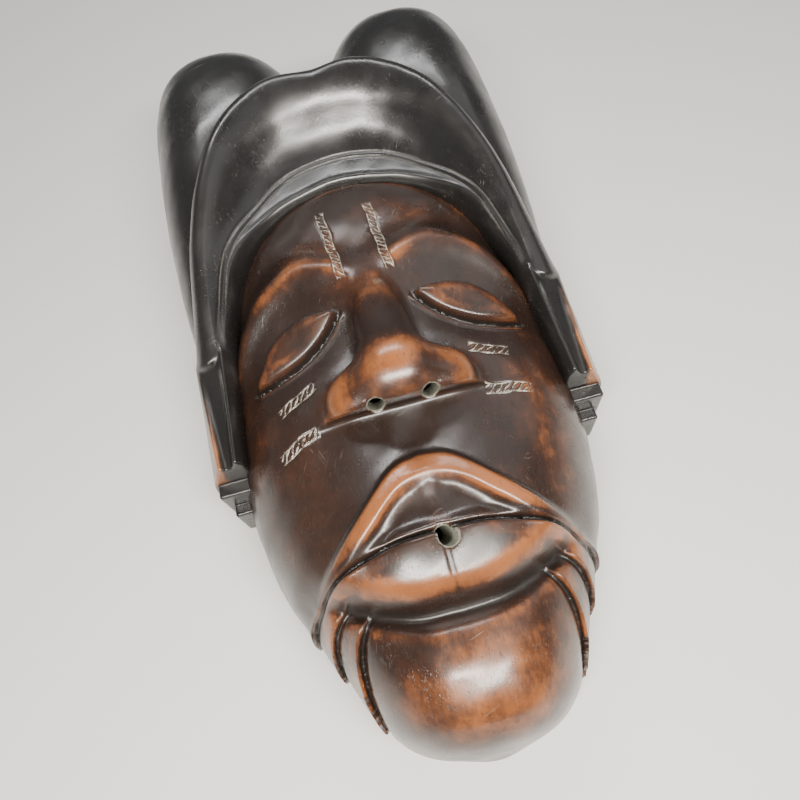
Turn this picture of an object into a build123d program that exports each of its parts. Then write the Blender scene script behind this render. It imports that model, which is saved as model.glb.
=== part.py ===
"""Carved wooden wall mask: a hollow face framed by a rolled headdress, with a ring hanger at the back.

Millimetres. The mask lies on the flat rim of its back: +Z points out of the face, +Y towards the crown
and +X to the side that is on the right when the face is looked at. The origin is the middle of the
footprint, on the plane of the rim.

The mask is carved from one block of wood. Each carved mass of that block is a solid of its own, and the
masses meet along the creases that the carver cut between them.
"""

from build123d import *

import os
from math import cos, pi, sin

# ---------------------------------------------------------------- driving dimensions
LENGTH = 350.0  # chin to crown
WIDTH = 184.0  # across the headdress
HEIGHT = 94.0  # to the crest of the roll
CHIN_Y = -LENGTH / 2
CROWN_Y = LENGTH / 2
CLEAR_TOP = 130.0  # height of the cutting tools, well above the mask
SAW_ALLOWANCE = 3.0  # the rough masses stand this far under the rim, and are sawn off flat

FACE_POWER = 2.3  # how square a cross section is (2 is an ellipse)
ROLL_POWER = 3.2
LOBE_POWER = 2.4
HOLLOW_POWER = 2.2
NOSE_POWER = 1.9

# Stations of each lofted mass: distance along Y, half width, height
FACE_STATIONS = (
    (CHIN_Y, 14, 28),
    (-171, 24, 42),
    (-162, 33, 54),
    (-148, 41, 60),
    (-128, 51, 61),
    (-105, 64, 61),
    (-78, 73, 63),
    (-48, 77, 66),
    (-10, 78, 70),
    (30, 76, 68),
    (66, 70, 62),
)
ROLL_STATIONS = (
    (-4, 89, 62),
    (20, 91, 71),
    (50, 92, 81),
    (80, WIDTH / 2, 89),
    (102, WIDTH / 2, HEIGHT),
    (114, 91, 91),
)
LOBE_X = WIDTH / 4  # each lobe is an arch of its own, over this line
LOBE_STATIONS = (
    (-4, 41, 30),
    (25, 44.5, 56),
    (55, 45.7, 72),
    (85, WIDTH / 4, 81),
    (110, WIDTH / 4, 84),
    (135, 45.5, 84),
    (152, 43.5, 79),
    (164, 39, 69),
    (171, 33, 55),
    (CROWN_Y, 22, 34),
)
HOLLOW_STATIONS = (
    (-156, 12, 24),
    (-146, 24, 40),
    (-128, 36, 45),
    (-105, 49, 46),
    (-75, 58, 48),
    (-40, 63, 52),
    (0, 65, 55),
    (40, 62, 55),
    (70, 50, 48),
    (86, 30, 30),
)
NOSE_STATIONS = (
    (-57, 27, 83),
    (-47, 29, 88),
    (-27, 19, 82),
    (-6, 12, 75),
    (10, 8, 66),
)

# Plan lines of the headdress, right half only, from the middle of the crown out to the side
BROW_LINE = ((0, 60), (28, 54), (49, 36), (60, 10), (65, -20), (67, -52))
BAND_LINE = ((0, 74), (22, 70), (38, 59), (54, 38), (63, 13), (68, -4))
ROLL_LINE = ((0, 109), (15, 112), (34, 104), (49, 91), (61, 70), (71, 43), (78, 10), (81, -4))
LOBE_LINE = ((0, 142), (9, 160), (24, 171), (42, 175), (62, 170), (78, 154), (88, 126), (92, 88), (91, 35), (89, -4))
BAND_DROP = 5.0  # the narrow band lies this far under the roll beside it

# Raised parts of the face: centre, half sizes, (tilt about Y, turn about Z). The paired ones are given
# for the right-hand side.
UPPER_LIP = ((0, -93, 54), (44, 15, 18), (0, 0))
LOWER_LIP = ((0, -119, 53), (36, 10, 16), (0, 0))
CHIN = ((0, -146, 38), (36, 28, 27), (0, 0))
EYELID = ((37, -17, 57), (23, 10, 10), (26, -22))
BROW = ((35, 5, 58), (28, 9, 10), (26, -16))

# The face is cut into its masses by straight cuts across it, and down the middle between the cheeks
BROW_CUT_Y = 18.0
NOSE_CUT_Y = -62.0
LIP_CUT_Y = -131.0

BORE_R = 3.25  # nostrils and mouth are drilled through with the same bit
BORE_DEPTH = 60.0
BORE_START = 12.0  # the bit starts this far out of the wood
NOSTRIL = ((10, -57, 74), (0, -0.6, 0.8))  # where a bore enters, and the way out of it
MOUTH = ((1, -107, 70), (0.15, -0.3, 0.94))

# Side lappets: corners of the cross section at their top and at their end, for the right-hand one
LAPPET_TOP_Y = -4.0
LAPPET_END_Y = -52.0
LAPPET_TOP = ((58, 0), (88.5, 0), (88, 30), (81, 47), (60, 54))
LAPPET_END = ((58, 0), (84, 0), (85, 27), (79, 41), (60, 46))
LAPPET_EDGE_R = 2.5
FOOT_STEPS = ((6.0, 31.0, 82.5), (11.0, 20.0, 80.0))  # reach past the lappet, height, outer edge
FOOT_INNER_X = 60.0

# Ring hanger, in a pocket cut in the back of the crown
PLATE = 1.0
STRAP_W = 9.0
STRAP_L = 16.0
WIRE_R = 0.9
EYE_GAP = 0.1  # radial running clearance of the ring's bar in the eye of the strap
EYE_R = WIRE_R + EYE_GAP + PLATE
RING_W = 15.0  # between the wire's centre lines
RING_L = 12.0
RING_TOP_R = 6.0
RING_FOOT_R = 1.8
POCKET_DEPTH = 6.5
POCKET_W = 26.0
POCKET_Y = (92.0, 128.0)
POCKET_CORNER_R = 5.0
PIVOT_Y = 112.0
PIVOT_Z = POCKET_DEPTH - EYE_R
SCREW_R = 1.4
SCREW_L = 13.0
SCREW_TIP = 2.5
HEAD_R = 2.9
HEAD_H = 1.6
HEAD_EDGE_R = 0.9
SLOT_W = 0.7
SLOT_DEPTH = 0.8
SCREW_HOLE_R = 1.5
SCREW_Y = PIVOT_Y - 9.5

SIDES = {"left": -1, "right": 1}


# ---------------------------------------------------------------- shared shapes
def arch_points(half_width, height, power, count=9):
    """Points of a flat-bottomed arch, from its right foot over the top to its left foot."""
    points = []
    for i in range(count):
        angle = pi * i / (count - 1)
        across = abs(cos(angle)) ** (2 / power)
        side = 1 if i < count // 2 else -1
        points.append((side * half_width * across, height * sin(angle) ** (2 / power)))
    points[-1] = (-half_width, 0)
    return points


def hull(stations, power, drop=0.0, middle_x=0.0):
    """A rough solid lofted through arches along Y, all of them over middle_x and lowered by drop."""
    with BuildPart() as body:
        for y, half_width, height in stations:
            with BuildSketch(Plane((middle_x, y, 0), x_dir=(1, 0, 0), z_dir=(0, -1, 0))):
                with BuildLine():
                    outline = arch_points(half_width, height - drop, power)
                    Spline(outline)
                    Polyline(
                        outline[-1],
                        (-half_width, -SAW_ALLOWANCE),
                        (half_width, -SAW_ALLOWANCE),
                        outline[0],
                    )
                make_face()
        loft()
    return body.part


def zone(line):
    """The space inside a plan line and its mirror image, closed straight across its feet."""
    left = [(-x, y) for x, y in reversed(line) if x > 0]
    with BuildPart() as block:
        with BuildSketch():
            with BuildLine():
                Spline(left + list(line))
                Line(line[-1], left[0])
            make_face()
        extrude(amount=CLEAR_TOP)
    return block.part


def lobe_zone(side):
    """The space of one lobe: its outer plan line, closed down the middle."""
    line = [(side * x, y) for x, y in LOBE_LINE]
    with BuildPart() as block:
        with BuildSketch():
            with BuildLine():
                Spline(line)
                Polyline(line[-1], (0, line[-1][1]), line[0])
            make_face()
        extrude(amount=CLEAR_TOP)
    return block.part


def clay(shapes):
    """Ellipsoids of wood left standing on the face."""
    lumps = []
    for centre, radii, (tilt, turn) in shapes:
        ball = scale(Sphere(1.0), by=radii)
        lumps.append(Location(centre, (0, tilt, turn)) * ball)
    return lumps


def bore_plane(bore, side=1):
    """The plane that a bit starts from, square to its bore and a little out of the wood."""
    (x, y, z), (out_x, out_y, out_z) = bore
    return Plane((side * x, y, z), z_dir=(side * out_x, out_y, out_z)).offset(BORE_START)


def write(part, name):
    part.label = name
    export_step(part, f"parts/{name}.step")
    print(f"{name}: {part.volume / 1000:.2f} cm3, {len(part.solids())} solid")


os.makedirs("parts", exist_ok=True)

# ---------------------------------------------------------------- cutting tools and rough masses
face_block = zone(BROW_LINE)
band_block = zone(BAND_LINE)
roll_block = zone(ROLL_LINE)

face_hull = hull(FACE_STATIONS, FACE_POWER)
nose_hull = hull(NOSE_STATIONS, NOSE_POWER)
hollow = hull(HOLLOW_STATIONS, HOLLOW_POWER)
middle_clay = clay((UPPER_LIP, LOWER_LIP, CHIN))
side_clay = clay((EYELID, BROW))

with BuildPart() as face_room:
    add(face_block)
    with Locations((0, CHIN_Y, 0)):
        Box(
            WIDTH,
            LAPPET_END_Y - CHIN_Y,
            CLEAR_TOP,
            align=(Align.CENTER, Align.MIN, Align.MIN),
        )

with BuildPart() as pocket:
    with BuildSketch():
        with Locations((0, sum(POCKET_Y) / 2)):
            RectangleRounded(POCKET_W, POCKET_Y[1] - POCKET_Y[0], POCKET_CORNER_R)
    extrude(amount=POCKET_DEPTH)

# ---------------------------------------------------------------- face
with BuildPart() as face:
    add(face_hull)
    add(face_room.part, mode=Mode.INTERSECT)
    add(nose_hull)
    add(middle_clay)
    add(side_clay)
    add(mirror(side_clay, about=Plane.YZ))
    add(hollow, mode=Mode.SUBTRACT)
    with Locations(bore_plane(NOSTRIL), bore_plane(NOSTRIL, -1), bore_plane(MOUTH)):
        Hole(BORE_R, depth=BORE_DEPTH)

FACE_PIECES = {
    "forehead": ((-WIDTH / 2, WIDTH / 2), (BROW_CUT_Y, CROWN_Y)),
    "cheek_left": ((-WIDTH / 2, 0), (NOSE_CUT_Y, BROW_CUT_Y)),
    "cheek_right": ((0, WIDTH / 2), (NOSE_CUT_Y, BROW_CUT_Y)),
    "muzzle": ((-WIDTH / 2, WIDTH / 2), (LIP_CUT_Y, NOSE_CUT_Y)),
    "chin": ((-WIDTH / 2, WIDTH / 2), (CHIN_Y, LIP_CUT_Y)),
}
for name, ((low_x, high_x), (low_y, high_y)) in FACE_PIECES.items():
    with BuildPart() as face_piece:
        add(face.part)
        with Locations(((low_x + high_x) / 2, (low_y + high_y) / 2, CLEAR_TOP / 2)):
            Box(high_x - low_x, high_y - low_y, CLEAR_TOP, mode=Mode.INTERSECT)
    write(face_piece.part, name)

# ---------------------------------------------------------------- headdress
with BuildPart() as brow_band:
    add(hull(ROLL_STATIONS, ROLL_POWER, BAND_DROP))
    add(band_block, mode=Mode.INTERSECT)
    add(face_block, mode=Mode.SUBTRACT)
    add(hollow, mode=Mode.SUBTRACT)
write(brow_band.part, "brow_band")

with BuildPart() as front_roll:
    add(hull(ROLL_STATIONS, ROLL_POWER))
    add(roll_block, mode=Mode.INTERSECT)
    add(band_block, mode=Mode.SUBTRACT)
    add(hollow, mode=Mode.SUBTRACT)
    add(pocket.part, mode=Mode.SUBTRACT)
    with BuildSketch(Plane.XY.offset(POCKET_DEPTH)):
        with Locations((0, SCREW_Y)):
            Circle(SCREW_R)
    extrude(amount=SCREW_L - PLATE, mode=Mode.SUBTRACT)
write(front_roll.part, "front_roll")

for name, side in SIDES.items():
    with BuildPart() as lobe:
        add(hull(LOBE_STATIONS, LOBE_POWER, middle_x=side * LOBE_X))
        add(lobe_zone(side), mode=Mode.INTERSECT)
        add(roll_block, mode=Mode.SUBTRACT)
        add(hollow, mode=Mode.SUBTRACT)
        add(pocket.part, mode=Mode.SUBTRACT)
    write(lobe.part, f"crown_lobe_{name}")

# ---------------------------------------------------------------- side lappets and their feet
for name, side in SIDES.items():
    with BuildPart() as lappet:
        for y, corners in ((LAPPET_TOP_Y, LAPPET_TOP), (LAPPET_END_Y, LAPPET_END)):
            with BuildSketch(Plane((0, y, 0), x_dir=(1, 0, 0), z_dir=(0, -1, 0))):
                Polygon([(side * x, z) for x, z in corners], align=None)
        loft()
        fillet(lappet.edges().group_by(Axis.Z)[-2:], LAPPET_EDGE_R)
        add(face_block, mode=Mode.SUBTRACT)
        add(hollow, mode=Mode.SUBTRACT)
    write(lappet.part, f"lappet_{name}")

    with BuildPart() as foot:
        for reach, height, outer_x in FOOT_STEPS:
            with BuildSketch():
                with Locations((side * (FOOT_INNER_X + outer_x) / 2, LAPPET_END_Y - reach / 2)):
                    Rectangle(outer_x - FOOT_INNER_X, reach)
            extrude(amount=height)
        add(face_hull, mode=Mode.SUBTRACT)
    write(foot.part, f"lappet_foot_{name}")

# ---------------------------------------------------------------- ring hanger
with BuildPart() as hanger_strap:
    with BuildSketch(Plane.XY.offset(PIVOT_Z + EYE_R - PLATE)):
        with Locations((0, PIVOT_Y - STRAP_L / 2)):
            Rectangle(STRAP_W, STRAP_L)
    extrude(amount=PLATE)
    fillet(hanger_strap.edges().filter_by(Axis.Z).group_by(Axis.Y)[0], STRAP_W / 3)
    with BuildSketch(Plane((-STRAP_W / 2, PIVOT_Y, PIVOT_Z), x_dir=(0, 1, 0), z_dir=(1, 0, 0))):
        Circle(EYE_R)
    extrude(amount=STRAP_W)
    with BuildSketch(Plane((-STRAP_W / 2, PIVOT_Y, PIVOT_Z), x_dir=(0, 1, 0), z_dir=(1, 0, 0))):
        Circle(WIRE_R + EYE_GAP)
    extrude(amount=STRAP_W, mode=Mode.SUBTRACT)
    with Locations((0, SCREW_Y, POCKET_DEPTH)):
        Hole(SCREW_HOLE_R, depth=PLATE)
write(hanger_strap.part, "hanger_strap")

with BuildSketch(Plane((0, PIVOT_Y + RING_L / 2, PIVOT_Z))) as ring_line:
    Rectangle(RING_W, RING_L)
    fillet(ring_line.vertices().group_by(Axis.Y)[-1], RING_TOP_R)
    fillet(ring_line.vertices().group_by(Axis.Y)[0], RING_FOOT_R)
with BuildPart() as hanger_ring:
    with BuildSketch(Plane((0, PIVOT_Y, PIVOT_Z), x_dir=(0, 1, 0), z_dir=(1, 0, 0))):
        Circle(WIRE_R)
    sweep(path=ring_line.sketch.face().outer_wire())
write(hanger_ring.part, "hanger_ring")

head_top = PIVOT_Z + EYE_R - PLATE
with BuildPart() as hanger_screw:
    with BuildSketch(Plane((0, SCREW_Y, head_top - HEAD_H))):
        Circle(HEAD_R)
    extrude(amount=HEAD_H)
    fillet(hanger_screw.faces().sort_by(Axis.Z)[0].edges(), HEAD_EDGE_R)
    with BuildSketch(Plane((0, SCREW_Y, head_top - HEAD_H))):
        Rectangle(SLOT_W, 2 * HEAD_R)
    extrude(amount=SLOT_DEPTH, mode=Mode.SUBTRACT)
    with BuildSketch(Plane((0, SCREW_Y, head_top))):
        Circle(SCREW_R)
    extrude(amount=SCREW_L)
    chamfer(hanger_screw.faces().sort_by(Axis.Z)[-1].edges(), SCREW_TIP, SCREW_R * 0.8)
write(hanger_screw.part, "hanger_screw")
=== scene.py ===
"""The looks of a carved wooden wall mask: a rolled headdress over a long face, and a ring hanger behind.

Every carved mass is described by a field: a function of x, y and z, in millimetres, that is negative
inside the wood and grows by one for each millimetre out of it. The field is turned into a mesh, the mesh
is made finer where the carving is fine, and its points are then drawn onto the field's surface.
The masses meet on the same plan lines as the CAD nodes that they replace.
"""

from math import cos, pi, radians, sin

import bpy
import numpy as np
from mathutils import Matrix, Vector


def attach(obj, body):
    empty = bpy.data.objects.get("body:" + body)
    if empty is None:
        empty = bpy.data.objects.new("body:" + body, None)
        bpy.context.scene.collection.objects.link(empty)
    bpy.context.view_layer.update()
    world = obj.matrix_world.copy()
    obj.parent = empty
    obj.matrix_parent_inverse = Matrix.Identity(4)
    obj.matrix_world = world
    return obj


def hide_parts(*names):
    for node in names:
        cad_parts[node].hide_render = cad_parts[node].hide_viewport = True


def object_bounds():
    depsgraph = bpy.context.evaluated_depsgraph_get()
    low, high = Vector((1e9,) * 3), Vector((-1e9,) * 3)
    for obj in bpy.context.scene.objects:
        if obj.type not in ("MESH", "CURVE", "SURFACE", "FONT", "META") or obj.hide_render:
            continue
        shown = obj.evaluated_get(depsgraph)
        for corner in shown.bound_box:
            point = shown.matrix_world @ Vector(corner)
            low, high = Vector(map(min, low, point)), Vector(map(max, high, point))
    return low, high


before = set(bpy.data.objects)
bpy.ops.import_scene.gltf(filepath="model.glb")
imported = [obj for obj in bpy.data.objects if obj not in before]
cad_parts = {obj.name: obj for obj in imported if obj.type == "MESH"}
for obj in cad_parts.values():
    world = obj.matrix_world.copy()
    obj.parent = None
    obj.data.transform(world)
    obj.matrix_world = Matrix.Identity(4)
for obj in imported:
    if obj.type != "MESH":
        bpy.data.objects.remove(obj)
cad_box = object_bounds()

MM = 0.001


# ================================================================ numbers of the carving, in millimetres
CHIN_Y = cad_box[0][1] / MM
CROWN_Y = cad_box[1][1] / MM
HALF_WIDTH = cad_box[1][0] / MM

FACE_POWER = 2.3
HOLLOW_POWER = 2.2
LOBE_POWER = 2.4

# distance along Y, half width, height
FACE_STATIONS = (
    (CHIN_Y - 4, 10, 20),
    (CHIN_Y, 17, 32),
    (-171, 24, 43),
    (-162, 33, 54),
    (-148, 41, 59),
    (-128, 51, 59),
    (-105, 64, 60),
    (-78, 73, 62),
    (-48, 77, 65),
    (-10, 78, 68),
    (30, 76, 67),
    (66, 70, 62),
    (90, 64, 58),
)
HOLLOW_STATIONS = (
    (-156, 12, 24),
    (-146, 24, 40),
    (-128, 36, 45),
    (-105, 49, 46),
    (-75, 58, 48),
    (-40, 63, 52),
    (0, 65, 55),
    (40, 62, 55),
    (70, 50, 48),
    (86, 30, 30),
)
LOBE_STATIONS = (
    (-4, 41, 38),
    (25, 44.5, 58),
    (55, 45.7, 72),
    (85, 46, 81),
    (110, 46, 84),
    (135, 45.5, 84),
    (152, 43.5, 79),
    (164, 39, 69),
    (171, 33, 55),
    (CROWN_Y, 22, 34),
    (CROWN_Y + 4, 14, 20),
)
LOBE_X = HALF_WIDTH / 2

# Plan lines of the headdress, right half only, from the middle of the crown out to the side
BROW_LINE = ((0, 60), (28, 54), (49, 36), (60, 10), (65, -20), (67, -52))
BAND_LINE = ((0, 74), (22, 70), (38, 59), (54, 38), (63, 13), (68, -4))
ROLL_LINE = ((0, 109), (15, 112), (34, 104), (49, 91), (61, 70), (71, 43), (78, 10), (81, -4))
LOBE_LINE = (
    (0, 142),
    (9, 160),
    (24, 171),
    (42, 175),
    (62, 170),
    (78, 154),
    (88, 126),
    (92, 88),
    (90.5, 38),
    (86, -4),
)

LAPPET_TOP_Y = -4.0
LAPPET_END_Y = -52.0
BORE_R = 3.25
NOSTRIL = ((10, -57, 74), (0, -0.6, 0.8))
MOUTH = ((1, -107, 70), (0.15, -0.3, 0.94))
FOOT_STEPS = ((6.0, 31.0, 82.5), (11.0, 20.0, 80.0))  # reach past the lappet, height, outer edge
POCKET_AT = (0.0, 110.0)
POCKET_SIZE = (26.0, 36.0)
POCKET_CORNER_R = 5.0
POCKET_DEPTH = 6.5

ROUNDS = 3  # how often the carved meshes are made finer


# ================================================================ small field tools
def through(value, knots):
    """A smooth line through knots (at, height), level beyond both ends."""
    at, height = (np.array(column, float) for column in zip(*knots))
    slope = np.gradient(height, at)
    i = np.clip(np.searchsorted(at, value, side="right") - 1, 0, len(at) - 2)
    step = at[i + 1] - at[i]
    t = np.clip((value - at[i]) / step, 0, 1)
    rise = height[i + 1] - height[i]
    return (
        height[i]
        + rise * t * t * (3 - 2 * t)
        + step * t * (1 - t) * (slope[i] * (1 - t) - slope[i + 1] * t)
    )


def smooth_step(value, low, high):
    t = np.clip((value - low) / (high - low), 0, 1)
    return t * t * (3 - 2 * t)


def both(a, b, blend):
    """The space that two fields share, with the edge between them rounded over blend."""
    gap = np.clip(0.5 - 0.5 * (b - a) / blend, 0, 1)
    return b + (a - b) * gap + blend * gap * (1 - gap)


def either(a, b, blend):
    """The space of two fields together, with the crease between them filled over blend."""
    return -both(-a, -b, blend)


class Arch:
    """A flat-bottomed arch along Y whose half width and height run smoothly through stations."""

    def __init__(self, stations, power):
        along, width, height = zip(*stations)
        self.at = np.arange(along[0] - 5, along[-1] + 5, 0.25)
        self.width = through(self.at, tuple(zip(along, width)))
        self.height = through(self.at, tuple(zip(along, height)))
        self.widening = np.gradient(self.width, self.at)
        self.rising = np.gradient(self.height, self.at)
        self.power = power

    def __call__(self, x, y, z):
        """Distance out of the arch."""
        w, h = np.interp(y, self.at, self.width), np.interp(y, self.at, self.height)
        w_slope, h_slope = np.interp(y, self.at, self.widening), np.interp(y, self.at, self.rising)
        across = np.maximum(np.abs(x) / w, 1e-4)
        up = np.maximum(z / h, 1e-4)
        a, b = across**self.power, up**self.power
        q = np.maximum((a + b) ** (1 / self.power), 0.2)
        lean = q ** (1 - self.power)
        steep = (lean * a / across / w) ** 2 + (lean * b / up / h) ** 2
        steep = steep + (lean * (a * w_slope / w + b * h_slope / h)) ** 2
        return (q - 1) / np.sqrt(np.maximum(steep, 1e-8))


def plan_map(function, low, high, step):
    """A function of x and y, worked out once on a fine grid and read between its points."""
    xs, ys = (np.arange(a, b + step, step) for a, b in zip(low, high))
    values = np.broadcast_to(function(xs[:, None], ys[None, :]), (len(xs), len(ys)))

    def look_up(x, y):
        u = np.clip((x - xs[0]) / step, 0, len(xs) - 1.001)
        v = np.clip((y - ys[0]) / step, 0, len(ys) - 1.001)
        i, j = u.astype(int), v.astype(int)
        u, v = u - i, v - j
        near = values[i, j] * (1 - v) + values[i, j + 1] * v
        far = values[i + 1, j] * (1 - v) + values[i + 1, j + 1] * v
        return near * (1 - u) + far * u

    return look_up


def smooth_route(points, count):
    """A curve through plan points, as count evenly numbered points."""
    points = np.array(points, float)
    along = np.concatenate(([0], np.cumsum(np.linalg.norm(np.diff(points, axis=0), axis=1))))
    where = np.linspace(0, along[-1], count)
    return np.stack([through(where, tuple(zip(along, points[:, k]))) for k in (0, 1)], -1)


def side_of(route, x, y):
    """Signed distance to a plan route: positive on its left as it is followed."""
    nearest = np.full(np.broadcast(x, y).shape, 1e9)
    side = np.ones_like(nearest)
    for (ax, ay), (bx, by) in zip(route[:-1], route[1:]):
        ex, ey = bx - ax, by - ay
        length = ex * ex + ey * ey
        t = np.clip(((x - ax) * ex + (y - ay) * ey) / length, 0, 1)
        dx, dy = x - ax - t * ex, y - ay - t * ey
        distance = dx * dx + dy * dy
        closer = distance < nearest
        nearest = np.where(closer, distance, nearest)
        side = np.where(closer, np.sign(ex * (y - ay) - ey * (x - ax)), side)
    return np.sqrt(nearest) * np.where(side == 0, 1, side)


def plan_route(line, count=36):
    """The right half of a plan line, run on straight past its foot so that distances stay true there."""
    (ax, ay), (bx, by) = line[-2], line[-1]
    foot = (bx + (bx - ax) * 0.6, by + (by - ay) * 0.6)
    crown = (-line[1][0], line[1][1])
    route = smooth_route((crown,) + tuple(line), count)
    return np.vstack((route, foot))


def distance_map(route):
    """Signed distance out of a plan route and its mirror image."""
    found = plan_map(lambda x, y: side_of(route, x, y), (-1, -80), (HALF_WIDTH + 6, CROWN_Y + 6), 0.5)
    return lambda x, y: found(np.abs(x), y)


brow_side = distance_map(plan_route(BROW_LINE))
band_side = distance_map(plan_route(BAND_LINE))
roll_side = distance_map(plan_route(ROLL_LINE))
lobe_side = distance_map(smooth_route(LOBE_LINE, 60))
face_arch = Arch(FACE_STATIONS, FACE_POWER)
hollow_arch = Arch(HOLLOW_STATIONS, HOLLOW_POWER)
lobe_arch = Arch(LOBE_STATIONS, LOBE_POWER)


def hill(x, y, centre, radii, turn=0.0):
    """A soft round rise in plan: one in its middle, nothing beyond about twice its radii."""
    c, s = cos(radians(turn)), sin(radians(turn))
    u = ((x - centre[0]) * c + (y - centre[1]) * s) / radii[0]
    v = ((y - centre[1]) * c - (x - centre[0]) * s) / radii[1]
    return np.exp(-u * u - v * v)


def waver(x, y, z=0.0):
    """The slow unevenness that a hand-held gouge and scraper leave, about one at its highest."""
    return (
        np.sin(x * 0.131 + 1.3 + 0.9 * np.sin(y * 0.047))
        + np.sin(y * 0.103 + 0.4 + 0.8 * np.sin(x * 0.081 + 2.0))
        + 0.7 * np.sin((x + y) * 0.213 + z * 0.11 + 2.1)
        + 0.5 * np.sin((x - 1.3 * y) * 0.347 + 0.8)
    ) / 3.2


# ================================================================ the face
EYE_X, EYE_Y = 36.0, -16.0
EYE_HALF = 23.0
EYE_TURN = -23.0
LID_UP, LID_DOWN = 11.0, 7.5
MOUTH_Y = -104.0

UPPER_LIP_LINE = ((0, -77), (10, -80), (24, -92), (38, -104), (49, -113))
MOUTH_LINE = ((0, MOUTH_Y), (16, -104.5), (32, -107.5), (43, -111), (48, -113))
LOWER_LIP_LINE = ((0, -127), (14, -126), (28, -121), (39, -115.5), (46, -112.5))
FOLD_LINES = (
    ((31, -122), (37, -131), (39, -143), (38, -158)),
    ((38, -117), (46, -125), (49, -136), (48, -152)),
    ((46, -112), (55, -118), (60, -129), (60, -145)),
)


def eye_frame(x, y):
    """Plan coordinates of an eye: along its slit from the middle, and across it upwards."""
    c, s = cos(radians(EYE_TURN)), sin(radians(EYE_TURN))
    dx, dy = np.abs(x) - EYE_X, y - EYE_Y
    return dx * c + dy * s, dy * c - dx * s


def eye_edges(x, y):
    """Distances inside the upper and the lower edge of an eyelid."""
    u, v = eye_frame(x, y)
    bow = np.clip(1 - (u / EYE_HALF) ** 2, -0.6, 1)
    return LID_UP * bow - v, v + LID_DOWN * bow


def eye_relief(x, y):
    """A sunken socket with a smooth closed lid in it, and a slit along the lid's lower edge."""
    u, v = eye_frame(x, y)
    upper, lower = eye_edges(x, y)
    inside = both(-upper, -lower, 2.5)
    socket = -5.5 * np.exp(-((u / 27) ** 2) - ((v / 15) ** 2))
    depth = np.clip(-inside, 0, 12) / 9
    lid = 5.6 * np.sqrt(np.clip(depth * (2 - depth), 0, 1)) * smooth_step(-inside, -0.6, 2.2)
    near_slit = smooth_step(EYE_HALF - np.abs(u), -1.5, 3.0)
    slit = -1.9 * np.exp(-(((lower + 0.1) / 1.15) ** 2)) * near_slit
    rim = 1.1 * np.exp(-(((lower + 2.4) / 1.1) ** 2)) * near_slit
    return socket + lid + slit + rim


def brow_relief(x, y):
    """Arched brows that run down into the root of the nose."""
    ax = np.abs(x)
    arc = through(ax, ((0, 6), (12, 11), (28, 17), (45, 11), (60, -3), (70, -16)))
    ridge = 3.6 * np.exp(-(((y - arc) / 8) ** 2)) * smooth_step(ax, 2, 16) * smooth_step(72 - ax, 0, 16)
    hollow = -1.8 * np.exp(-(((y - arc - 17) / 9) ** 2)) * smooth_step(ax, -8, 20)
    root = 2.4 * hill(x, y, (0, 2), (9, 15))
    return ridge + hollow + root


def mouth_relief(x, y):
    """A full upper lip under a tent-shaped edge, the line between the lips, and the lower lip."""
    ax = np.abs(x)
    top = through(ax, UPPER_LIP_LINE)
    line = through(ax, MOUTH_LINE)
    low = through(ax, LOWER_LIP_LINE)
    side = smooth_step(54 - ax, 0, 22)
    swell = 9.5 * np.exp(-((ax / 44) ** 2)) * np.exp(-(((y + 103) / 27) ** 2))
    edge = 3.6 * smooth_step(top + 4 - y, 0, 5) * smooth_step(y - top + 13, -3, 9) * side
    shelf = -2.2 * smooth_step(top - 6 - y, 0, 5) * smooth_step(y - line, -1, 6) * side
    lip = 4.6 * side * smooth_step(line - y, -0.5, 2.5) * smooth_step(y - low, -1.5, 8)
    under = -4.4 * np.exp(-(((y - low + 2.0) / 3.6) ** 2)) * smooth_step(52 - ax, 0, 18)
    seam = -2.6 * np.exp(-(((y - line) / 1.0) ** 2)) * smooth_step(50 - ax, 0, 6)
    groove = -0.8 * np.exp(-((ax / 1.2) ** 2)) * smooth_step(line - y, 0, 2) * smooth_step(y - low, 0, 4)
    bead = 2.6 * hill(x, y, (0, -89), (4.2, 7))
    philtrum = -2.0 * hill(x, y, (0, -68), (5.5, 9))
    corner = -2.5 * hill(ax, y, (52, -113), (7, 6), -30)
    return swell + edge + shelf + lip + under + seam + groove + bead + philtrum + corner


def fold_relief(x, y):
    """Three overlapping folds down each side of the jaw, like shingles."""
    ax = np.abs(x)
    total = 0.0
    for line in FOLD_LINES:
        route = smooth_route(line, 12)
        across = side_of(route, ax, y)
        start = smooth_step(line[0][1] - y, -3, 7)
        total = total + start * (
            2.3 * smooth_step(across, -0.7, 0.8) * np.exp(-np.clip(across, 0, 50) / 7)
            - 1.5 * np.exp(-(((across + 0.9) / 1.1) ** 2))
        )
    return total


# Hatched bars cut on the forehead and the cheeks: middle of each end, and width
BARS = (
    ((-13.1, 45.5), (-10.4, 5.5), 3.3),
    ((8.2, 44.0), (9.5, 4.5), 3.3),
    ((-47.0, -41.5), (-31.0, -35.5), 3.8),
    ((-50.0, -59.5), (-33.5, -54.0), 3.8),
    ((29.5, -37.0), (45.0, -40.5), 3.8),
    ((31.0, -55.0), (49.0, -57.5), 3.8),
)
RUNG_GAP = 2.7  # between the slanting cuts inside a bar
NICK = ((3.0, -3.5), 2.3)  # the small square cut at the root of the nose


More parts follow.
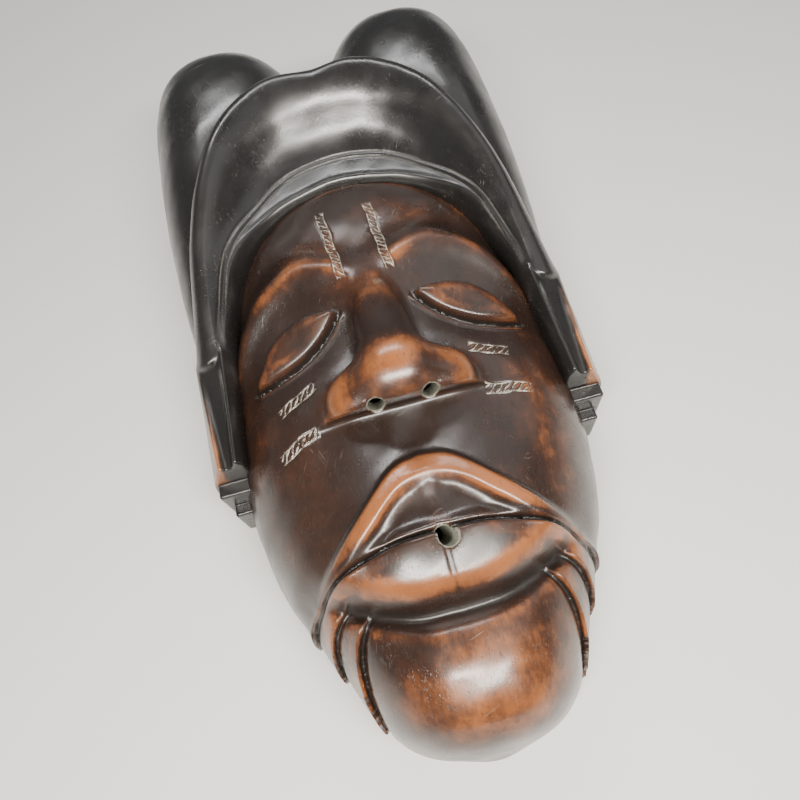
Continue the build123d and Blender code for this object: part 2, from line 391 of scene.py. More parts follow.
def bar_cuts(x, y):
    """How deep the knife went into the hatched bars, from 0 to 1."""
    deep = 0.0
    for (ax, ay), (bx, by), width in BARS:
        length = np.hypot(bx - ax, by - ay)
        cx, cy = (bx - ax) / length, (by - ay) / length
        u = (x - ax) * cx + (y - ay) * cy
        v = (y - ay) * cx - (x - ax) * cy
        v = v + 0.25 * np.sin(u * 0.4 + ax)
        ends = smooth_step(u, -0.4, 0.6) * smooth_step(length - u, -0.4, 0.6)
        rails = np.exp(-(((np.abs(v) - width / 2) / 0.27) ** 2))
        slant = (u - v * 0.9 + 0.3 * np.sin(u * 1.7 + ay)) / RUNG_GAP
        rungs = np.exp(-(((slant - np.round(slant)) * RUNG_GAP / 0.30) ** 2))
        rungs = rungs * smooth_step(width / 2 - np.abs(v), -0.2, 0.3)
        deep = np.maximum(deep, ends * np.maximum(rails * (0.7 + 0.3 * np.sin(u * 0.9 + ay)), rungs))
    return deep


def nick_cut(x, y):
    (cx, cy), half = NICK
    return smooth_step(half - np.maximum(np.abs(x - cx), np.abs(y - cy) * 0.9), -0.3, 0.5)


def face_relief(x, y):
    cheeks = 2.2 * hill(np.abs(x), y, (43, -62), (18, 24), -12)
    beside_nose = -2.6 * hill(np.abs(x), y, (33, -60), (9, 16), 24)
    forehead = 1.2 * hill(x, y, (0, 36), (26, 16))
    chin = 3.0 * hill(x, y, (0, -150), (26, 17))
    temples = -1.5 * hill(np.abs(x), y, (62, -2), (10, 18))
    return (
        eye_relief(x, y)
        + brow_relief(x, y)
        + mouth_relief(x, y)
        + fold_relief(x, y)
        + cheeks
        + beside_nose
        + forehead
        + chin
        + temples
        + 0.35 * waver(x, y)
        - 0.7 * bar_cuts(x, y)
        - 0.6 * nick_cut(x, y)
    )


face_relief_map = plan_map(face_relief, (-86, CHIN_Y - 6), (86, 70), 0.25)


def ball(x, y, z, centre, radii):
    """Rough distance out of an ellipsoid."""
    u, v, w = ((p - c) / r for p, c, r in zip((x, y, z), centre, radii))
    return (np.sqrt(u * u + v * v + w * w) - 1) * min(radii)


def round_bar(x, y, z, start, end, start_r, end_r):
    """Distance out of a bar with ball ends that widens evenly from start to end."""
    way = np.array(end, float) - start
    t = ((x - start[0]) * way[0] + (y - start[1]) * way[1] + (z - start[2]) * way[2]) / (way @ way)
    t = np.clip(t, 0, 1)
    dx, dy, dz = (p - s - t * w for p, s, w in zip((x, y, z), start, way))
    return np.sqrt(dx * dx + dy * dy + dz * dz) - start_r - (end_r - start_r) * t


def nose_field(x, y, z):
    """A short broad nose, cut off square underneath."""
    ax = np.abs(x)
    bridge = round_bar(x, y, z, (0, 18, 58), (0, -42, 73.0), 7.0, 12.5)
    tip = ball(x, y, z, (0, -48, 74), (15, 12, 12))
    wing = ball(ax, y, z, (16.5, -50, 66.5), (11.5, 12, 11))
    cheek = ball(ax, y, z, (24, -50, 56), (11, 12, 8))
    nose = either(either(bridge, tip, 9.0), either(wing, cheek, 6.0), 8.0)
    cut = (-56.5 - 0.34 * (z - 72) - y) * 0.95
    return both(nose, cut, 1.4)


def bore_field(x, y, z, bore, side=1):
    """A drilled hole, open at the front and running right into the hollow."""
    (px, py, pz), way = bore
    way = np.array((side * way[0], way[1], way[2]), float)
    way /= np.linalg.norm(way)
    dx, dy, dz = x - side * px, y - py, z - pz
    along = dx * way[0] + dy * way[1] + dz * way[2]
    across = np.sqrt(np.maximum(dx * dx + dy * dy + dz * dz - along * along, 0))
    return np.maximum(across - BORE_R, -along - 50)


def hollow_field(x, y, z):
    """The gouged-out back, with a rounded wall at each end."""
    scallop = 0.45 * np.sin(x * 0.55 + 0.6 * np.sin(y * 0.09)) * np.sin(y * 0.21 + 0.5 * np.sin(x * 0.13))
    ends = np.maximum(HOLLOW_STATIONS[0][0] - y, y - HOLLOW_STATIONS[-1][0])
    return both(hollow_arch(x, y, z) + scallop, ends + scallop, 8.0)


def face_skin(x, y, z):
    """The front of the face, before it is bored and hollowed."""
    skull = face_arch(x, y, z) - face_relief_map(x, y)
    skull = both(skull, CHIN_Y - y, 16.0)
    return either(skull, nose_field(x, y, z), 3.5)


def face_field(x, y, z):
    """The whole face. It runs on a little way under the headdress, where it is a trace smaller."""
    beyond = brow_side(x, y)
    wood = face_skin(x, y, z)
    wood = both(wood, -hollow_field(x, y, z), 1.0)
    wood = both(wood, -z, 0.8) + 0.4 * smooth_step(beyond, -0.1, 0.5)
    wood = both(wood, np.minimum(beyond - 1.5, y - LAPPET_END_Y), 0.3)
    for side in (-1, 1):
        wood = both(wood, -bore_field(x, y, z, NOSTRIL, side), 0.4)
    return both(wood, -bore_field(x, y, z, MOUTH), 0.4)


# ================================================================ the headdress
# Heights round the headdress, by the angle seen from its foot: 0 at the side, 90 at the crown
BROW_HEIGHTS = ((-30, 43), (0, 46), (13, 51), (39, 59), (64, 62), (90, 63))
CREST_HEIGHTS = ((-30, 51), (0, 55), (13, 61.5), (39, 76), (64, 87), (90, 91))
RIDGE_HEIGHTS = ((-30, 43), (0, 46), (13, 54), (30, 65), (45, 75), (64, 85), (80, 88), (90, 85))
# Where the crest lies, as a share of the way from the brow line to the back ridge
CREST_SHARES = ((-30, 0.26), (0, 0.32), (13, 0.42), (39, 0.60), (64, 0.73), (90, 0.79))
# The rise of the visor's front, from the brow line (0) to its crest (1):
# hollow at the crown, even at the sides
CROWN_RISE = (
    (0.0, 0.02),
    (0.05, 0.07),
    (0.12, 0.10),
    (0.30, 0.15),
    (0.45, 0.22),
    (0.60, 0.38),
    (0.72, 0.59),
    (0.82, 0.78),
    (0.92, 0.92),
    (1.0, 1.0),
)
SIDE_RISE = ((0.0, 0.02), (0.08, 0.24), (0.20, 0.40), (0.60, 0.70), (0.85, 0.90), (1.0, 1.0))
# The floor of the notch between the lobes, along Y
NOTCH_FLOOR = ((100, 70), (112, 71), (126, 70), (142, 64), (150, 57))


def crown_angle(x, y):
    """Degrees round the headdress, from its foot at one side to the crown."""
    return np.degrees(np.arctan2(y - LAPPET_TOP_Y, np.maximum(np.abs(x), 0.5)))


def band_grooves(x, y):
    """A pair of fine lines cut along the outer edge of the brow band."""
    across = band_side(x, y)
    fade = smooth_step(crown_angle(x, y), 4, 20)
    return 0.55 * fade * (np.exp(-(((across + 1.2) / 0.45) ** 2)) + np.exp(-(((across - 1.2) / 0.45) ** 2)))


def reach_by_angle(line):
    """How far a plan line of the headdress lies from the point between its feet, by the angle round it."""
    route = plan_route(line, 80)
    angle = crown_angle(route[:, 0], route[:, 1])
    reach = np.hypot(route[:, 0], route[:, 1] - LAPPET_TOP_Y)
    order = np.argsort(angle)
    knots = np.arange(-36, 91, 3.0)
    level = np.interp(knots, angle[order], reach[order])
    for _ in range(2):
        padded = np.concatenate((2 * level[:1] - level[1:2], level, level[-2:-1]))
        level = (padded[:-2] + 2 * padded[1:-1] + padded[2:]) / 4
    return lambda at: through(at, tuple(zip(knots, level)))


brow_reach, ridge_reach = reach_by_angle(BROW_LINE), reach_by_angle(ROLL_LINE)


def visor_height(x, y):
    """The headdress's front: a bead along the brow, a hollow slope, a rolled crest and a back ridge."""
    angle = crown_angle(x, y)
    inner = np.hypot(x, y - LAPPET_TOP_Y) - brow_reach(angle)
    share = np.clip(inner / (ridge_reach(angle) - brow_reach(angle)), 0, 1)
    brow, crest = through(angle, BROW_HEIGHTS), through(angle, CREST_HEIGHTS)
    ridge = through(angle, RIDGE_HEIGHTS)
    crest_at = through(angle, CREST_SHARES)
    part = share / crest_at
    at_crown = smooth_step(angle, 30, 62)
    rise = through(part, SIDE_RISE) * (1 - at_crown) + through(part, CROWN_RISE) * at_crown
    front = brow + (crest - brow) * rise
    over = np.clip((share - crest_at) / (1 - crest_at), 0, 1)
    top = crest + (ridge - crest) * over + 3.0 * np.sin(pi * over)
    bead = 1.5 * np.exp(-(((inner - 2.2) / 1.9) ** 2))
    return np.where(share < crest_at, front, top) + bead - band_grooves(x, y) + 0.3 * waver(x, y)


visor_map = plan_map(visor_height, (-HALF_WIDTH - 5, -30), (HALF_WIDTH + 5, 118), 0.25)


def visor_field(x, y, z):
    """The roll ends at its feet in a low arch over the top of each lappet."""
    wood = both((z - visor_map(x, y)) * 0.78, roll_side(x, y), 2.2)
    foot = LAPPET_TOP_Y - 4 + np.minimum(0.08 * (np.abs(x) - 74) ** 2, 5)
    return both(wood, foot - y, 1.6)


def lobes_field(x, y, z):
    """Both lobes behind the roll, and the low floor of the notch between them."""
    ax = np.abs(x)
    puff = lobe_arch(ax - LOBE_X, y, z)
    collar = 2.2 * np.exp(-np.clip(roll_side(x, y), 0, 60) / 7)
    outline = lobe_side(x, y)
    puff = both(puff + collar - 0.25 * waver(x + 40, y), outline, 6.0)
    floor = both((z - through(y, NOTCH_FLOOR)) * 0.8, both(ax - 12, outline, 3.0), 5.0)
    wood = both(either(puff, floor, 4.0), -roll_side(x, y) - 3, 0.5)
    return both(wood, LAPPET_TOP_Y - y, 3.0)


def lappet_field(x, y, z):
    """Straps that carry on from the roll, with a sharp inner edge, a channel and a widening outer face."""
    ax = np.abs(x)
    down = np.clip((LAPPET_TOP_Y - y) / (LAPPET_TOP_Y - LAPPET_END_Y), -0.25, 1)
    edge_x, edge_z = 67 + 2.5 * down, 55.5 - 7.0 * down
    shoulder_x, shoulder_z = 80.5 - 3.5 * down, 46.5 - 1.0 * down
    outer_x = 83 + 2 * down
    fall = (edge_z - shoulder_z) / (shoulder_x - edge_x)
    top = (z - edge_z + (ax - edge_x) * fall) / np.sqrt(1 + fall * fall)
    open_ = smooth_step(down, 0.0, 0.35)
    across = smooth_step(ax - edge_x, 0.2, 3.0) * smooth_step(shoulder_x - ax, -0.5, 3.0)
    channel = (1.4 + 2.0 * down) * open_ * across
    slope = (z - shoulder_z + (ax - shoulder_x) * 2.2) / 2.4
    wood = both(top + channel, slope, 1.4)
    wood = both(wood, ax - outer_x, 2.5)
    inner = (edge_x - ax) * 0.9 - (z - edge_z) * -0.45
    wood = both(wood, inner - 0.3, 0.8)
    wood = both(wood, LAPPET_END_Y - y, 1.0)
    return both(wood - 0.2 * waver(x, y), y - LAPPET_TOP_Y - 5, 6.0)


def foot_field(x, y, z):
    """Two small steps under the end of each lappet."""
    ax = np.abs(x)
    first, second = (
        both(both(LAPPET_END_Y - reach - y, ax - outer_x, 1.0), z - height, 1.2)
        for reach, height, outer_x in FOOT_STEPS
    )
    steps = both(np.minimum(first, second), y - LAPPET_END_Y - 6, 0.3)
    return both(steps, -face_arch(x, y, z) - 1.5, 0.3)


def pocket_field(x, y, z):
    """The round-cornered pocket in the back that takes the hanger."""
    dx = np.abs(x - POCKET_AT[0]) - POCKET_SIZE[0] / 2 + POCKET_CORNER_R
    dy = np.abs(y - POCKET_AT[1]) - POCKET_SIZE[1] / 2 + POCKET_CORNER_R
    corner = np.sqrt(np.maximum(dx, 0) ** 2 + np.maximum(dy, 0) ** 2)
    wall = corner + np.minimum(np.maximum(dx, dy), 0) - POCKET_CORNER_R
    return np.maximum(wall, z - POCKET_DEPTH)


def headdress_field(x, y, z):
    wood = either(visor_field(x, y, z), lobes_field(x, y, z), 1.6)
    wood = either(wood, lappet_field(x, y, z), 1.6)
    wood = both(wood, -brow_side(x, y), 0.8)
    wood = np.minimum(wood, foot_field(x, y, z))
    wood = both(wood, -hollow_field(x, y, z), 1.0)
    wood = both(wood, -pocket_field(x, y, z), 0.4)
    return both(wood, -z, 0.8)


# ================================================================ turning fields into meshes
def net(field, low, high, step):
    """A closed mesh over a field's surface, with one point in each cell that the surface crosses."""
    sizes = [int(np.ceil((b - a) / step)) + 1 for a, b in zip(low, high)]
    axes = [a + step * np.arange(n) for a, n in zip(low, sizes)]
    value = field(axes[0][:, None, None], axes[1][None, :, None], axes[2][None, None, :])
    value = np.broadcast_to(value, sizes)
    inside = value < 0
    cells = [n - 1 for n in sizes]
    total = np.zeros(cells + [3])
    count = np.zeros(cells)
    for d in range(3):
        e, f = (d + 1) % 3, (d + 2) % 3
        order = (d, e, f)
        v, s = value.transpose(order), inside.transpose(order)
        crossed = s[:-1] != s[1:]
        share = np.where(crossed, v[:-1] / np.where(crossed, v[:-1] - v[1:], 1), 0)
        for o in (0, 1):
            for q in (0, 1):
                part = (slice(None), slice(o, o + cells[e]), slice(q, q + cells[f]))
                hit = crossed[part]
                back = np.argsort(order)
                along = axes[d][:-1, None, None] + step * share[part]
                second = axes[e][None, o : o + cells[e], None]
                third = axes[f][None, None, q : q + cells[f]]
                for k, spot in zip(order, (along, second, third)):
                    total[..., k] += (hit * spot).transpose(back)
                count += hit.transpose(back)
    used = count > 0
    number = np.full(cells, -1)
    number[used] = np.arange(used.sum())
    points = total[used] / count[used][:, None]
    quads = []
    for d in range(3):
        order = (d, (d + 1) % 3, (d + 2) % 3)
        s, n = inside.transpose(order), number.transpose(order)
        rising = s[:-1, 1:-1, 1:-1]
        crossed = rising != s[1:, 1:-1, 1:-1]
        ring = np.stack((n[:, :-1, :-1], n[:, 1:, :-1], n[:, 1:, 1:], n[:, :-1, 1:]), -1)[crossed]
        quads.append(np.where(rising[crossed][:, None], ring, ring[:, ::-1]))
    quads = np.concatenate(quads)
    a, b, c, d = (points[quads[:, k]] for k in range(4))
    short = (np.linalg.norm(a - c, axis=1) <= np.linalg.norm(b - d, axis=1))[:, None, None]
    one = np.stack((quads[:, [0, 1, 2]], quads[:, [0, 2, 3]]), 1)
    other = np.stack((quads[:, [0, 1, 3]], quads[:, [1, 2, 3]]), 1)
    return points, np.where(short, one, other).reshape(-1, 3)


def measure(field, points):
    """A field and its slope at points."""
    x, y, z = points.T
    reach = 0.04
    value = field(x, y, z)
    slope = np.stack((field(x + reach, y, z), field(x, y + reach, z), field(x, y, z + reach)), -1)
    return value, (slope - value[:, None]) / reach


def draw_on(field, points, rounds, reach):
    """Moves points on to a field's surface, and returns them with the way out of it there."""
    for _ in range(rounds):
        value, slope = measure(field, points)
        steep = np.maximum((slope * slope).sum(1), 0.05)
        move = -slope * (value / steep)[:, None]
        size = np.linalg.norm(move, axis=1)
        points = points + move * np.minimum(1, reach / np.maximum(size, 1e-9))[:, None]
    return points, slope / np.maximum(np.linalg.norm(slope, axis=1), 1e-9)[:, None]


def edges_of(triangles, count):
    """The edges of triangles, each once, and the three edges of each triangle."""
    ends = np.stack((triangles, np.roll(triangles, -1, 1)), -1).reshape(-1, 2)
    key = ends.min(1) * count + ends.max(1)
    unique, which = np.unique(key, return_inverse=True)
    return np.stack((unique // count, unique % count), -1), which.reshape(-1, 3)


def split_once(points, normals, triangles, wanted, finest, turn):
    """Halves the edges that are longer than wanted there or that bend more than turn degrees."""
    edges, sides = edges_of(triangles, len(points))
    a, b = edges.T
    length = np.linalg.norm(points[a] - points[b], axis=1)
    bend = (normals[a] * normals[b]).sum(1) < cos(radians(turn))
    middle = (points[a] + points[b]) / 2
    halve = (length > wanted(middle)) | (bend & (length > finest))
    for _ in range(12):
        grow = halve[sides].sum(1) == 2
        if not grow.any():
            break
        halve[sides[grow]] = True
    new = np.full(len(edges), -1)
    new[halve] = len(points) + np.arange(halve.sum())
    cut = new[sides]
    parts = [triangles[(cut < 0).all(1)]]
    full = (cut >= 0).all(1)
    t, m = triangles[full], cut[full]
    parts += [np.stack((t[:, k], m[:, k], m[:, k - 1]), -1) for k in range(3)] + [m]
    for k in range(3):
        lone = (cut[:, k] >= 0) & ~full
        t, m = triangles[lone], cut[lone, k]
        p, q, r = t[:, k], t[:, (k + 1) % 3], t[:, (k + 2) % 3]
        parts += [np.stack((p, m, r), -1), np.stack((m, q, r), -1)]
    return np.concatenate((points, middle[halve])), np.concatenate(parts)


def relax(points, normals, triangles, rounds=1):
    """Evens out the spacing of points without moving them off their surface."""
    edges, _ = edges_of(triangles, len(points))
    a, b = edges.T
    share = np.bincount(a, minlength=len(points)) + np.bincount(b, minlength=len(points))
    for _ in range(rounds):
        total = np.zeros_like(points)
        for k in range(3):
            total[:, k] = np.bincount(a, points[b, k], len(points))
            total[:, k] += np.bincount(b, points[a, k], len(points))
        move = total / share[:, None] - points
        points = points + 0.5 * (move - normals * (move * normals).sum(1)[:, None])
    return points


def carve(field, low, high, step, wanted, finest=0.95, turn=16.0, rounds=3):
    """A triangle mesh of a field, finer where it bends and where wanted asks for it."""
    points, triangles = net(field, low, high, step)
    points, normals = draw_on(field, points, 3, step)
    points, normals = draw_on(field, relax(points, normals, triangles, 2), 3, step)
    for _ in range(rounds):
        points, triangles = split_once(points, normals, triangles, wanted, finest, turn)
        points, normals = draw_on(field, points, 2, step / 2)
    points = relax(points, normals, triangles)
    return *draw_on(field, points, 3, step / 2), triangles


def make_piece(name, points, triangles, attributes):
    """A Blender mesh of carved triangles, in metres, with named numbers stored on its points."""
    mesh = bpy.data.meshes.new(name)
    mesh.vertices.add(len(points))
    mesh.vertices.foreach_set("co", (points * MM).astype(np.float32).ravel())
    mesh.loops.add(triangles.size)
    mesh.loops.foreach_set("vertex_index", triangles.astype(np.int32).ravel())
    mesh.polygons.add(len(triangles))
    mesh.polygons.foreach_set("loop_start", np.arange(0, triangles.size, 3, dtype=np.int32))
    mesh.update()
    mesh.validate()
    mesh.shade_smooth()
    for key, values in attributes.items():
        attribute = mesh.attributes.new(key, "FLOAT", "POINT")
        attribute.data.foreach_set("value", np.asarray(values, np.float32))
    piece = bpy.data.objects.new(name, mesh)
    bpy.context.scene.collection.objects.link(piece)
    return piece


def convexity(field, points, reach):
    """How strongly a field bulges (above 0) or sinks (below 0) round each point, seen over reach."""
    x, y, z = points.T
    ring = field(x + reach, y, z) + field(x - reach, y, z) + field(x, y + reach, z) + field(x, y - reach, z)
    return (ring + field(x, y, z + reach) + field(x, y, z - reach) - 6 * field(x, y, z)) / reach


# ================================================================ the carved pieces
def line_gap(x, y):
    """Distance in plan to the nearest of the fine cuts of the face: eye slits, mouth and folds."""
    ax = np.abs(x)
    _, lower = eye_edges(x, y)
    u, _ = eye_frame(x, y)
    gap = np.hypot(lower, np.maximum(np.abs(u) - EYE_HALF, 0))
    gap = np.minimum(gap, np.hypot(y - through(ax, MOUTH_LINE), np.maximum(ax - 48, 0)))
    for line in FOLD_LINES:
        gap = np.minimum(gap, np.abs(side_of(smooth_route(line, 12), ax, y)))
    return np.maximum(gap, 0)


def bar_gap(x, y):
    """Distance in plan to the nearest hatched bar."""
    gap = 99.0
    for (ax, ay), (bx, by), width in BARS:
        ex, ey = bx - ax, by - ay
        along = np.clip(((x - ax) * ex + (y - ay) * ey) / (ex**2 + ey**2), 0, 1)
        away = np.hypot(x - ax - along * ex, y - ay - along * ey)
        gap = np.minimum(gap, away - width / 2)
    return gap


line_gap_map = plan_map(line_gap, (-86, CHIN_Y - 6), (86, 70), 0.5)


def face_detail(points):
    """The edge length wanted on the face, fine along its cuts and coarse in the hollow."""
    x, y, z = points.T
    gap = line_gap_map(x, y)
    front = np.where(gap < 1.3, 0.8, np.where(gap < 3.0, 1.6, 3.6))
    front = np.where(bar_gap(x, y) < 0.4, 0.46, front)
    return np.where(face_arch(x, y, z) > -9, front, 6.0)


def headdress_detail(points):
    """The edge length wanted on the headdress, fine along the double line and coarse in the hollow."""
    x, y, z = points.T
    near = (np.abs(band_side(x, y)) < 2.4) & (z > 40) & (y > LAPPET_TOP_Y)
    return np.where(hollow_field(x, y, z) < 1.5, 6.0, np.where(near, 0.9, 3.4))


def face_rub(x, y):
    """How far handling has rubbed the black stain off the face, from 0 (none) to 1."""
    ax = np.abs(x)
    arc = through(ax, ((0, 4), (12, 9), (28, 15), (45, 9), (60, -5)))
    brow = 0.42 * np.exp(-(((y - arc) / 7) ** 2)) * smooth_step(62 - ax, 0, 26)
    root = 0.5 * hill(x, y, (2, -4), (17, 13))
    nose = 1.0 * hill(x, y, (0, -46), (12, 9)) + 0.8 * hill(ax, y, (22, -46), (8, 9))
    top = through(ax, UPPER_LIP_LINE)
    band = 0.85 * np.exp(-(((y - top + 4.5) / 6.5) ** 2)) * smooth_step(56 - ax, 0, 14)
    low = through(ax, LOWER_LIP_LINE)
    lip = 0.75 * np.exp(-(((y - low - 7) / 3.5) ** 2)) * smooth_step(42 - ax, 0, 20)
    chin = 0.85 * hill(x, y, (4, -152), (38, 20))
    cheek = 0.36 * hill(ax, y, (50, -78), (24, 36), -14) + 0.16 * hill(x, y, (48, -62), (22, 26))
    cheek_bone = 0.25 * hill(ax, y, (60, -38), (10, 26))
    lid = 0.42 * hill(ax, y, (34, -12), (14, 5), EYE_TURN)
    forehead = 0.45 * hill(x, y, (14, 36), (34, 14)) + 0.3 * hill(x, y, (-20, 24), (18, 12))
    folds = 0.35 * hill(ax, y, (44, -138), (14, 22))
    spots = (brow, root, nose, band, lip, chin, cheek, cheek_bone, lid, forehead, folds)
    rubbed = 1 - np.prod([1 - np.clip(spot, 0, 1) for spot in spots], axis=0)
    dark = 0.8 * np.exp(-(((y - through(ax, MOUTH_LINE) - 2) / 4.5) ** 2)) * smooth_step(50 - ax, 0, 8)
    dark = np.maximum(dark, 0.8 * hill(x, y, (0, -68), (24, 7)))
    return rubbed * (1 - dark)


def headdress_rub(x, y, z):
    """The same for the headdress: the roll's back ridge, the lappets' outer faces, the lobes' rims."""
    ax = np.abs(x)
    ridge = 0.62 * np.exp(-((roll_side(x, y) / 2.6) ** 2)) * smooth_step(y, -4, 20)
    ridge = ridge * smooth_step(z - visor_map(x, y), -5, -2)
    down = np.clip((LAPPET_TOP_Y + 12 - y) / (LAPPET_TOP_Y + 12 - LAPPET_END_Y), 0, 1)
    wedge = 0.98 * down * smooth_step(ax, 77 - 3 * down, 80.5 - 3 * down)
    wedge = wedge * smooth_step(z, 20, 40) * (y > LAPPET_END_Y - 0.5)
    rim = 0.3 * np.exp(-(((lobe_side(x, y) + 9) / 5) ** 2))
    rim = rim * smooth_step(z, 45, 70) * smooth_step(y, 20, 60)
    return np.clip(np.maximum(np.maximum(ridge, wedge), rim), 0, 1)


def nearness(distance, reach):
    """One on a surface, falling to nothing at reach."""
    return 1 - smooth_step(np.abs(distance), 0, reach)


SIZE_X, SIZE_Y = HALF_WIDTH + 3, CROWN_Y + 3
face_points, _, face_triangles = carve(
    face_field, (-84, CHIN_Y - 3, -3), (84, 68, 96), 2.4, face_detail, rounds=ROUNDS
)
fx, fy, fz = face_points.T
bores = [bore_field(fx, fy, fz, NOSTRIL, side) for side in (-1, 1)] + [bore_field(fx, fy, fz, MOUTH)]
in_bore = smooth_step(0.35 - np.min(bores, axis=0), 0, 0.3) * smooth_step(hollow_field(fx, fy, fz), 0.5, 3)
face_front = smooth_step(face_arch(fx, fy, fz), -9, -5) * (1 - in_bore)
face = make_piece(
    "face",
    face_points,
    face_triangles,
    {
        "sunk": convexity(face_field, face_points, 1.2),
        "high": convexity(face_field, face_points, 5.0),
        "rub": face_rub(fx, fy) * face_front,
        "cut": np.maximum(bar_cuts(fx, fy), 0.3 * nick_cut(fx, fy)) * face_front,
        "raw": in_bore,
        "bare": smooth_step(2.0 - hollow_field(fx, fy, fz), 0, 1.0) + (fz < 0.7),
    },
)
dress_points, _, dress_triangles = carve(
    headdress_field,
    (-SIZE_X, -70, -3),
    (SIZE_X, SIZE_Y, 98),
    2.3,
    headdress_detail,
    finest=0.7,
    turn=15.0,
    rounds=ROUNDS,
)
dx, dy, dz = dress_points.T
line_cut = np.maximum(nearness(band_side(dx, dy) - 1.2, 0.8), nearness(band_side(dx, dy) + 1.2, 0.8))
inside = np.minimum(hollow_field(dx, dy, dz), pocket_field(dx, dy, dz))
headdress = make_piece(
    "headdress",
    dress_points,
    dress_triangles,
    {
        "sunk": convexity(headdress_field, dress_points, 1.2),
        "high": convexity(headdress_field, dress_points, 5.0),
        "rub": headdress_rub(dx, dy, dz),
        "cut": line_cut * smooth_step(crown_angle(dx, dy), 6, 22) * (dz > 40) * 0.3,
        "raw": np.zeros(len(dress_points)),
        "bare": smooth_step(2.0 - inside, 0, 1.0) + (dz < 0.7),
    },
)

HEADDRESS_NODES = ["brow_band", "front_roll"]
for side in ("left", "right"):
    HEADDRESS_NODES += [f"crown_lobe_{side}", f"lappet_{side}", f"lappet_foot_{side}"]
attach(face, "mask")
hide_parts("forehead", "cheek_left", "cheek_right", "muzzle", "chin")
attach(headdress, "mask")
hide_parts(*HEADDRESS_NODES)


# ================================================================ node tools
def node(tree, kind, inputs=(), **settings):
    """One node with its settings, and its inputs given as values or as the sockets that feed them."""
    made = tree.nodes.new(kind)
    for key, value in settings.items():
        setattr(made, key, value)
    for key, value in dict(inputs).items():
        feed(tree, made.inputs[key], value)
    return made


def feed(tree, socket, value):
    if isinstance(value, bpy.types.NodeSocket):
        tree.links.new(value, socket)
    else:
        socket.default_value = value


def calc(tree, operation, *values):
    made = node(tree, "ShaderNodeMath", enumerate(values), operation=operation)
    return made.outputs[0]


def ramp(tree, value, low, high, to_low=0.0, to_high=1.0):
    """A value brought smoothly from one range to another."""
    inputs = {"Value": value, "From Min": low, "From Max": high, "To Min": to_low, "To Max": to_high}
    return node(tree, "ShaderNodeMapRange", inputs, interpolation_type="SMOOTHSTEP").outputs["Result"]


def blend(tree, share, a, b):
    """A colour between a and b."""
    made = node(tree, "ShaderNodeMix", {0: share, 6: a, 7: b}, data_type="RGBA")
    return made.outputs[2]


def stored(tree, name):
    """A number stored on a piece's points."""
    return node(tree, "ShaderNodeAttribute", attribute_name=name).outputs["Fac"]


def new_group(name, inputs, outputs):
    """A shader group with number inputs, given with their usual values, and number outputs."""
    tree = bpy.data.node_groups.new(name, "ShaderNodeTree")
    for key, usual in inputs.items():
        socket = tree.interface.new_socket(key, in_out="INPUT", socket_type="NodeSocketFloat")
        socket.default_value = usual
    for key in outputs:
        tree.interface.new_socket(key, in_out="OUTPUT", socket_type="NodeSocketFloat")
    return tree, node(tree, "NodeGroupInput").outputs, node(tree, "NodeGroupOutput").inputs


def call(tree, group, **values):
    """The outputs of a group that is given its values."""
    made = node(tree, "ShaderNodeGroup", node_tree=group)
    for key, value in values.items():
        feed(tree, made.inputs[key], value)
    return made.outputs


def place(tree, scale=(1, 1, 1), turn=(0, 0, 0)):
    """Object coordinates, turned and then scaled."""
    here = node(tree, "ShaderNodeTexCoord").outputs["Object"]
    turned = node(tree, "ShaderNodeMapping", {"Vector": here, "Rotation": turn}).outputs[0]
    return node(tree, "ShaderNodeMapping", {"Vector": turned, "Scale": scale}).outputs[0]


def noise(tree, vector, scale, detail=3.0, roughness=0.55):
    inputs = {"Vector": vector, "Scale": scale, "Detail": detail, "Roughness": roughness}
    return node(tree, "ShaderNodeTexNoise", inputs).outputs["Fac"]


# ================================================================ shared effects
# Fibres that run along the block, with short open pores
grain, given, result = new_group("wood grain", {"Fineness": 1.0}, ("Fibre", "Pores", "Figure"))
fine = noise(grain, place(grain, (1, 0.045, 1)), calc(grain, "MULTIPLY", given["Fineness"], 1500), 4, 0.6)
flecks = noise(grain, place(grain, (1, 0.10, 1)), calc(grain, "MULTIPLY", given["Fineness"], 2600), 2, 0.5)
figure = noise(grain, place(grain, (1, 0.16, 1), (0.05, 0.03, 0.06)), 48, 4, 0.55)
feed(grain, result["Fibre"], fine)
feed(grain, result["Pores"], ramp(grain, flecks, 0.60, 0.72))
feed(grain, result["Figure"], figure)

# Stain rubbed off the high places by handling, and painted shade darkening the low ones
wear_and_shade_inputs = {"Rub": 0.0, "High": 0.0, "Sunk": 0.0, "Spread": 1.0}
wear_and_shade, given, result = new_group("handling wear and painted recess shade", wear_and_shade_inputs, ("Rub", "PaintedRecessShade"))
patches = noise(wear_and_shade, place(wear_and_shade), 70, 6, 0.62)
specks = noise(wear_and_shade, place(wear_and_shade, (1, 0.4, 1)), 520, 4, 0.65)
breakup = calc(wear_and_shade, "ADD", calc(wear_and_shade, "MULTIPLY", patches, 0.75), calc(wear_and_shade, "MULTIPLY", specks, 0.25))
ridge_share = calc(wear_and_shade, "MULTIPLY", given["Spread"], 0.45)
edge_share = calc(wear_and_shade, "MULTIPLY", given["Spread"], 0.35)
ridges = calc(wear_and_shade, "MULTIPLY", ramp(wear_and_shade, given["High"], 0.15, 1.1), ridge_share)
edges = calc(wear_and_shade, "MULTIPLY", ramp(wear_and_shade, given["Sunk"], 0.25, 1.1), edge_share)
amount = calc(wear_and_shade, "ADD", given["Rub"], calc(wear_and_shade, "MAXIMUM", ridges, edges))
uneven = calc(wear_and_shade, "ADD", amount, calc(wear_and_shade, "MULTIPLY", calc(wear_and_shade, "SUBTRACT", breakup, 0.5), 1.7))
